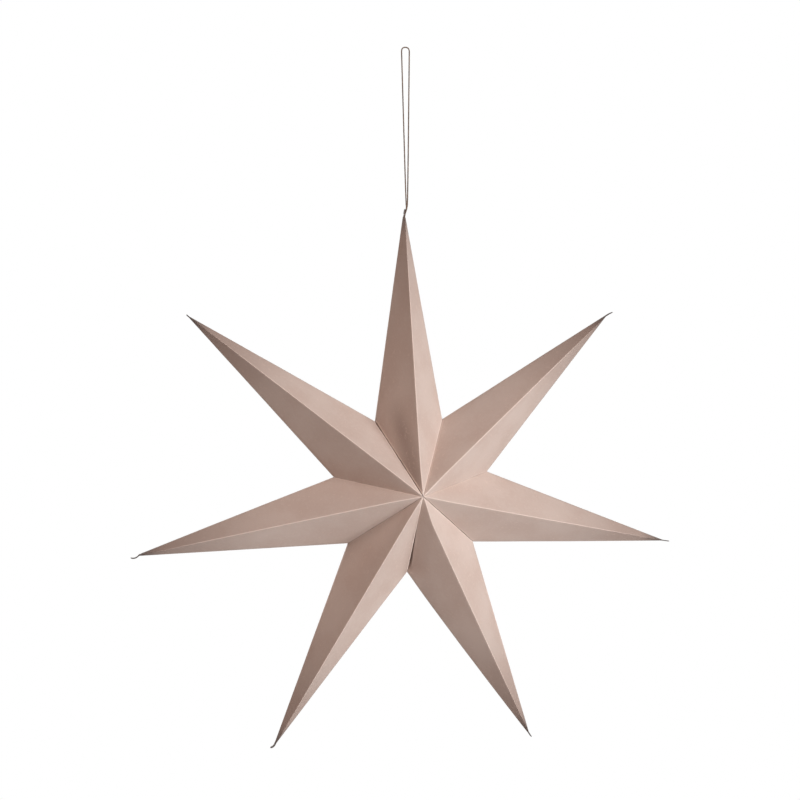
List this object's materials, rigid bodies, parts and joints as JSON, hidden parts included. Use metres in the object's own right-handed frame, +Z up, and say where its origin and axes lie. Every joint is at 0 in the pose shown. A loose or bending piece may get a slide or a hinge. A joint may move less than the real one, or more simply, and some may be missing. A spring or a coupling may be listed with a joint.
{
  "type": "paper star",
  "caption": "Hanging star of folded paper: hollow pointed rays with a raised ridge each, glued side by side round a raised centre, on a looped cord.",
  "frame": {"origin": "inside the top of the cord's loop, where it hangs on its nail", "axes": "+Z up; the star's front faces -Y; X runs across the star, with +X on the right as the front is seen"},
  "size_m": [0.5886, 0.1496, 0.7473],
  "materials": {
    "rose_paper": "matt dusty rose paper with fine fibres",
    "brown_cord": "thin twisted brown cord",
    "white_tape": "double-sided foam tape"
  },
  "bodies": {
    "root": {"ray_top": "rose_paper", "ray_upper_right": "rose_paper", "ray_right": "rose_paper", "ray_lower_right": "rose_paper", "ray_lower_left": "rose_paper", "ray_left": "rose_paper", "ray_upper_left": "rose_paper", "closing_tape_front": "white_tape", "closing_tape_back": "white_tape", "cord_knot": "brown_cord", "hanging_cord": "brown_cord"}
  },
  "joints": []
}
